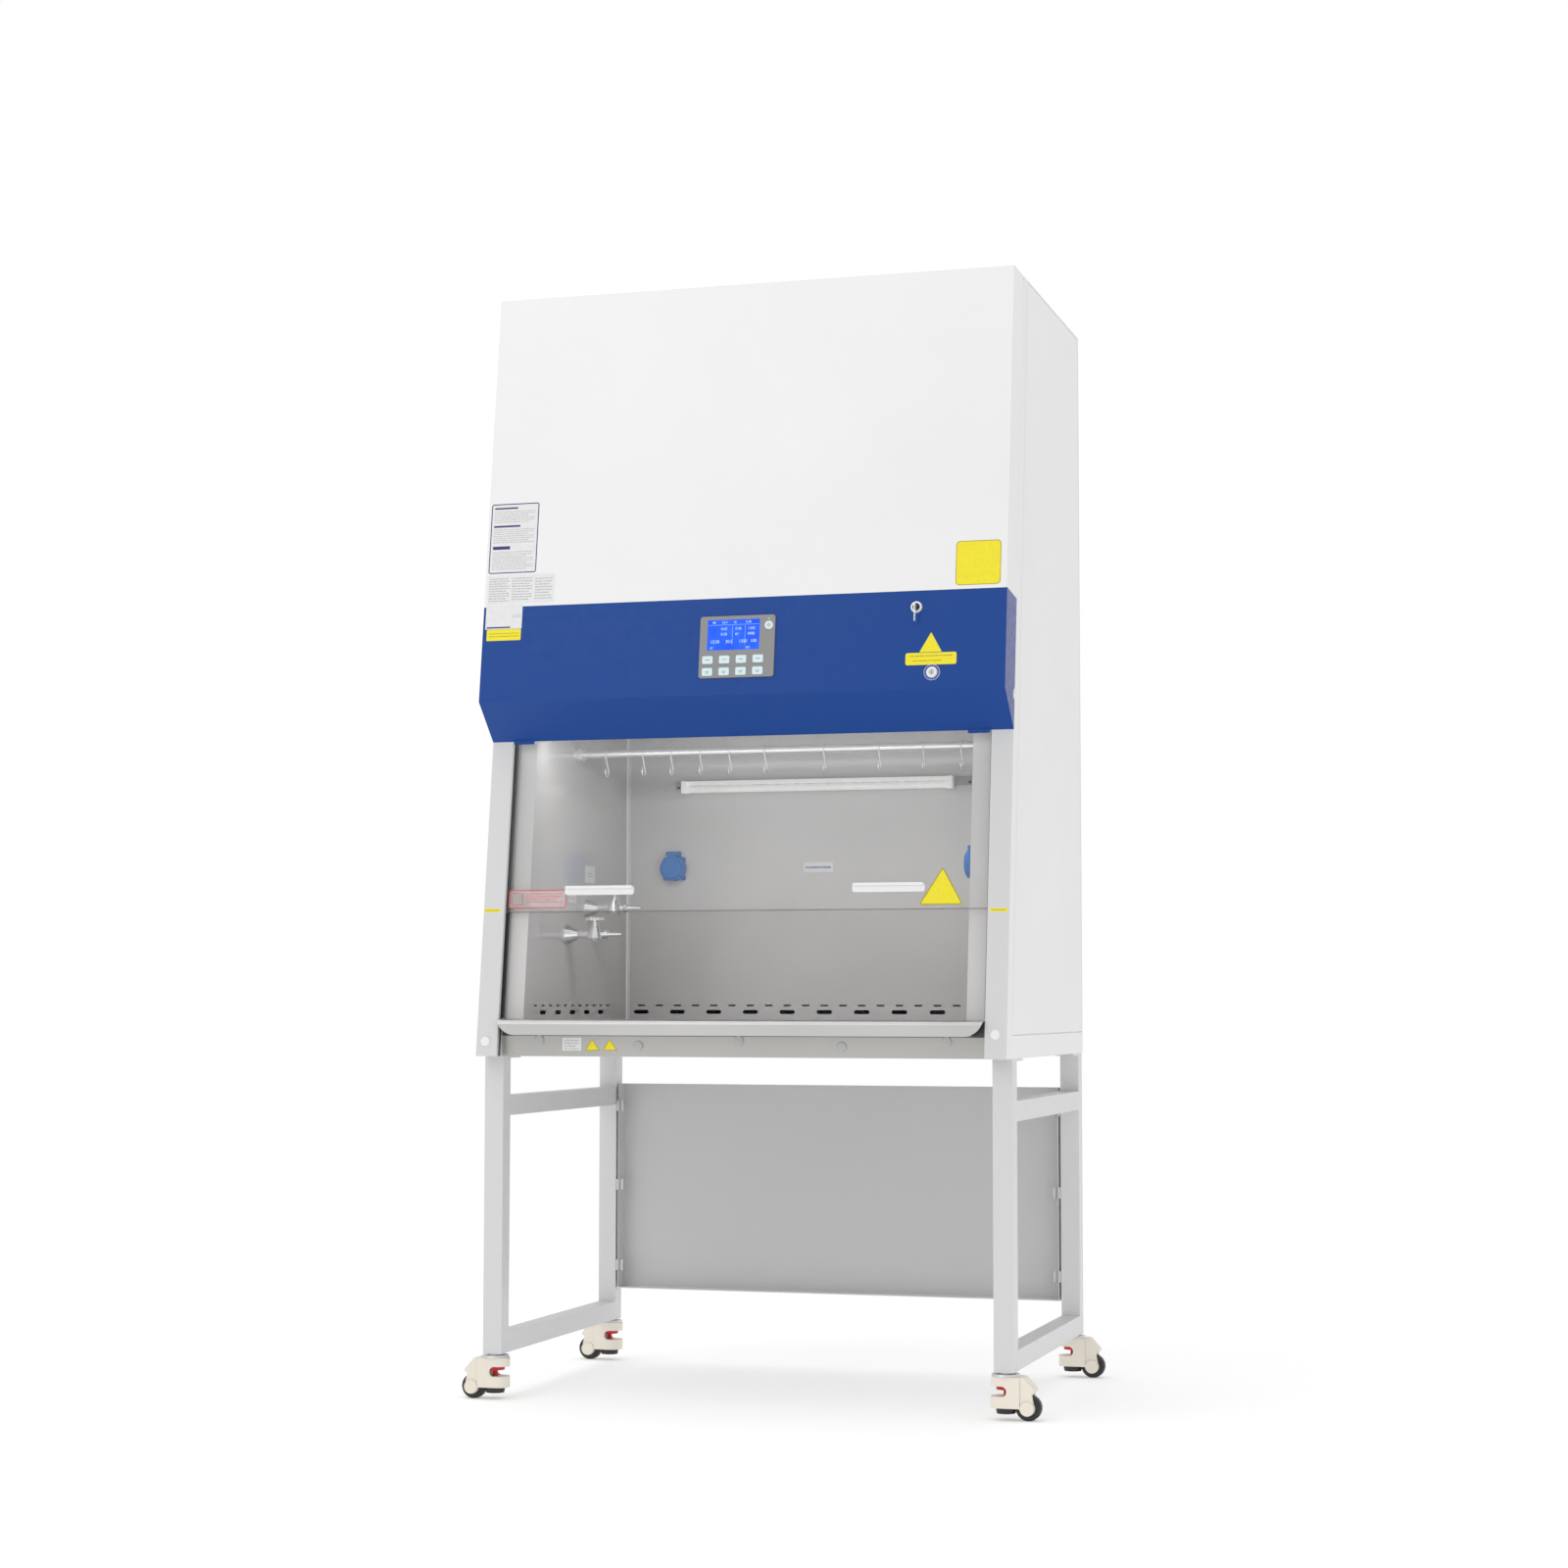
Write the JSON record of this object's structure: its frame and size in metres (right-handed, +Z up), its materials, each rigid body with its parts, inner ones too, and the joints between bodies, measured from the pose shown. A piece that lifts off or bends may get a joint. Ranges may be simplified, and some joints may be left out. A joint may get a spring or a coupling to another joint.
{
  "type": "biosafety cabinet",
  "caption": "Floor-standing biosafety cabinet with sloping front, counterweighted glass sash, stainless chamber, lift-up fascia hood, side taps and an open stand on levelling casters.",
  "frame": {"origin": "on the floor under the centre of the cabinet's box", "axes": "+X to the right seen from the front, +Y to the rear, +Z up"},
  "size_m": [1.2, 0.795, 2.275],
  "materials": {
    "white_paint": "fine-textured white powder coat",
    "stainless": "fine satin stainless steel",
    "blue_paint": "satin blue powder coat",
    "panel_grey": "grey film over a plate",
    "lcd": "lit blue liquid crystal display",
    "key_plastic": "pale moulded keys",
    "chrome": "polished chrome plate",
    "key_steel": "dark bright steel",
    "lamp_white": "white moulded plastic and tube glass",
    "socket_blue": "blue moulded plastic",
    "sash_glass": "clear toughened glass",
    "cast_iron": "cast bars",
    "filter_media": "pleated filter paper in a frame",
    "motor_paint": "dark die casting",
    "fan_aluminium": "pressed aluminium",
    "frame_grey": "light grey powder coat",
    "cream_plastic": "cream moulded nylon",
    "black_tyre": "black wheel",
    "foot_plastic": "black pad with a red thumbwheel"
  },
  "bodies": {
    "cabinet": {"side_walls": "white_paint", "rear_wall": "white_paint", "roof": "white_paint", "exhaust_grille": "stainless", "base_pan": "stainless", "pillars": "white_paint", "access_panels": "white_paint", "chamber_liner": "stainless", "armrest": "stainless", "lower_front_panel": "stainless", "hole_caps": "white_paint", "diffuser": "stainless", "hanger_rail": "chrome", "lamps": "lamp_white", "socket_bases": "socket_blue", "tap_bodies": "chrome", "plenum": "stainless", "filters": "filter_media", "blower": "motor_paint", "stand_frames": "frame_grey", "stand_back_panel": "frame_grey"},
    "hood": {"front_cover": "white_paint", "fascia": "blue_paint", "control_plate": "panel_grey", "display": "lcd", "lock_barrels": "chrome"},
    "key_1_body": {"key_1": "key_plastic"},
    "key_2_body": {"key_2": "key_plastic"},
    "key_3_body": {"key_3": "key_plastic"},
    "key_4_body": {"key_4": "key_plastic"},
    "key_5_body": {"key_5": "key_plastic"},
    "key_6_body": {"key_6": "key_plastic"},
    "key_7_body": {"key_7": "key_plastic"},
    "key_8_body": {"key_8": "key_plastic"},
    "power_key_body": {"power_key": "key_plastic"},
    "switch_key_body": {"switch_key": "key_steel"},
    "lock_core_body": {"lock_core": "chrome"},
    "tray": {"work_tray": "stainless"},
    "hook_row": {"hooks": "chrome"},
    "lid_back": {"socket_lid_back": "socket_blue"},
    "lid_side": {"socket_lid_side": "socket_blue"},
    "knob_upper": {"tap_knob_upper": "chrome"},
    "knob_lower": {"tap_knob_lower": "chrome"},
    "sash": {"sash_glass": "sash_glass", "sash_handles": "lamp_white"},
    "weights": {"counterweights": "cast_iron"},
    "shaft": {"sash_shaft": "key_steel"},
    "fan": {"impeller": "fan_aluminium"},
    "caster_1": {"caster_housing_1": "cream_plastic"},
    "wheel_1": {"caster_wheel_1": "black_tyre"},
    "foot_1": {"caster_foot_1": "foot_plastic"},
    "caster_2": {"caster_housing_2": "cream_plastic"},
    "wheel_2": {"caster_wheel_2": "black_tyre"},
    "foot_2": {"caster_foot_2": "foot_plastic"},
    "caster_3": {"caster_housing_3": "cream_plastic"},
    "wheel_3": {"caster_wheel_3": "black_tyre"},
    "foot_3": {"caster_foot_3": "foot_plastic"},
    "caster_4": {"caster_housing_4": "cream_plastic"},
    "wheel_4": {"caster_wheel_4": "black_tyre"},
    "foot_4": {"caster_foot_4": "foot_plastic"}
  },
  "joints": [
    {"name": "hood_hinge", "type": "hinge", "parent": "cabinet", "child": "hood", "pos_m": [0, -0.1943, 2.271], "axis": [-1, 0, 0], "range_deg": [0, 60]},
    {"name": "key_1_press", "type": "slide", "parent": "hood", "child": "key_1_body", "axis": [0, 0.9922, -0.1245], "range_m": [0, 0.0008], "stiffness_N_per_m": 400},
    {"name": "key_2_press", "type": "slide", "parent": "hood", "child": "key_2_body", "axis": [0, 0.9922, -0.1245], "range_m": [0, 0.0008], "stiffness_N_per_m": 400},
    {"name": "key_3_press", "type": "slide", "parent": "hood", "child": "key_3_body", "axis": [0, 0.9922, -0.1245], "range_m": [0, 0.0008], "stiffness_N_per_m": 400},
    {"name": "key_4_press", "type": "slide", "parent": "hood", "child": "key_4_body", "axis": [0, 0.9922, -0.1245], "range_m": [0, 0.0008], "stiffness_N_per_m": 400},
    {"name": "key_5_press", "type": "slide", "parent": "hood", "child": "key_5_body", "axis": [0, 0.9922, -0.1245], "range_m": [0, 0.0008], "stiffness_N_per_m": 400},
    {"name": "key_6_press", "type": "slide", "parent": "hood", "child": "key_6_body", "axis": [0, 0.9922, -0.1245], "range_m": [0, 0.0008], "stiffness_N_per_m": 400},
    {"name": "key_7_press", "type": "slide", "parent": "hood", "child": "key_7_body", "axis": [0, 0.9922, -0.1245], "range_m": [0, 0.0008], "stiffness_N_per_m": 400},
    {"name": "key_8_press", "type": "slide", "parent": "hood", "child": "key_8_body", "axis": [0, 0.9922, -0.1245], "range_m": [0, 0.0008], "stiffness_N_per_m": 400},
    {"name": "power_key_press", "type": "slide", "parent": "hood", "child": "power_key_body", "axis": [0, 0.9922, -0.1245], "range_m": [0, 0.0008], "stiffness_N_per_m": 400},
    {"name": "switch_key_turn", "type": "hinge", "parent": "hood", "child": "switch_key_body", "pos_m": [0.3682, -0.37128, 1.5816], "axis": [0, -0.9922, 0.1245], "range_deg": [0, 90]},
    {"name": "lock_core_turn", "type": "hinge", "parent": "hood", "child": "lock_core_body", "pos_m": [0.4029, -0.38783, 1.4497], "axis": [0, -0.9922, 0.1245], "range_deg": [0, 90]},
    {"name": "tray_lift", "type": "slide", "parent": "cabinet", "child": "tray", "axis": [0, 0, 1], "range_m": [0, 0.06]},
    {"name": "hook_swing", "type": "hinge", "parent": "cabinet", "child": "hook_row", "pos_m": [0, -0.0575, 1.334], "axis": [1, 0, 0], "range_deg": [-35, 35]},
    {"name": "lid_back_open", "type": "hinge", "parent": "cabinet", "child": "lid_back", "pos_m": [-0.347, 0.2545, 1.135], "axis": [-1, 0, 0], "range_deg": [0, 100], "stiffness_Nm_per_rad": 0.05},
    {"name": "lid_side_open", "type": "hinge", "parent": "cabinet", "child": "lid_side", "pos_m": [0.446, -0.2375, 1.113], "axis": [0, 1, 0], "range_deg": [0, 100], "stiffness_Nm_per_rad": 0.05},
    {"name": "knob_upper_turn", "type": "hinge", "parent": "cabinet", "child": "knob_upper", "pos_m": [-0.398, 0.0135, 1.0368], "axis": [0, 0, 1], "range_deg": [0, 360]},
    {"name": "knob_lower_turn", "type": "hinge", "parent": "cabinet", "child": "knob_lower", "pos_m": [-0.398, -0.1085, 0.9775], "axis": [0, 0, 1], "range_deg": [0, 360]},
    {"name": "sash_slide", "type": "slide", "parent": "cabinet", "child": "sash", "axis": [0, 0.1245, 0.9922], "range_m": [-0.216, 0.2]},
    {"name": "weights_slide", "type": "slide", "parent": "cabinet", "child": "weights", "axis": [0, 0.1245, 0.9922], "range_m": [-0.201, 0.217]},
    {"name": "shaft_turn", "type": "hinge", "parent": "cabinet", "child": "shaft", "pos_m": [0, -0.16715, 2.07366], "axis": [-1, 0, 0], "range_deg": [-336, 311]},
    {"name": "fan_spin", "type": "hinge", "parent": "cabinet", "child": "fan", "pos_m": [0, 0.2045, 1.815], "axis": [0, 1, 0], "continuous": true},
    {"name": "caster_1_swivel", "type": "hinge", "parent": "cabinet", "child": "caster_1", "pos_m": [0.53, -0.3205, 0.075], "axis": [0, 0, 1], "continuous": true},
    {"name": "wheel_1_roll", "type": "hinge", "parent": "caster_1", "child": "wheel_1", "pos_m": [0.575, -0.3205, 0.025], "axis": [0, 1, 0], "continuous": true},
    {"name": "foot_1_level", "type": "slide", "parent": "caster_1", "child": "foot_1", "axis": [0, 0, 1], "range_m": [-0.012, 0]},
    {"name": "caster_2_swivel", "type": "hinge", "parent": "cabinet", "child": "caster_2", "pos_m": [-0.53, -0.3205, 0.075], "axis": [0, 0, 1], "continuous": true},
    {"name": "wheel_2_roll", "type": "hinge", "parent": "caster_2", "child": "wheel_2", "pos_m": [-0.575, -0.3205, 0.025], "axis": [0, 1, 0], "continuous": true},
    {"name": "foot_2_level", "type": "slide", "parent": "caster_2", "child": "foot_2", "axis": [0, 0, 1], "range_m": [-0.012, 0]},
    {"name": "caster_3_swivel", "type": "hinge", "parent": "cabinet", "child": "caster_3", "pos_m": [0.53, 0.3655, 0.075], "axis": [0, 0, 1], "continuous": true},
    {"name": "wheel_3_roll", "type": "hinge", "parent": "caster_3", "child": "wheel_3", "pos_m": [0.575, 0.3655, 0.025], "axis": [0, 1, 0], "continuous": true},
    {"name": "foot_3_level", "type": "slide", "parent": "caster_3", "child": "foot_3", "axis": [0, 0, 1], "range_m": [-0.012, 0]},
    {"name": "caster_4_swivel", "type": "hinge", "parent": "cabinet", "child": "caster_4", "pos_m": [-0.53, 0.3655, 0.075], "axis": [0, 0, 1], "continuous": true},
    {"name": "wheel_4_roll", "type": "hinge", "parent": "caster_4", "child": "wheel_4", "pos_m": [-0.575, 0.3655, 0.025], "axis": [0, 1, 0], "continuous": true},
    {"name": "foot_4_level", "type": "slide", "parent": "caster_4", "child": "foot_4", "axis": [0, 0, 1], "range_m": [-0.012, 0]}
  ],
  "couplings": [
    {"joint": "weights_slide", "follows": "sash_slide", "ratio": -1},
    {"joint": "shaft_turn", "follows": "sash_slide", "rad_per_m": 27.027}
  ]
}
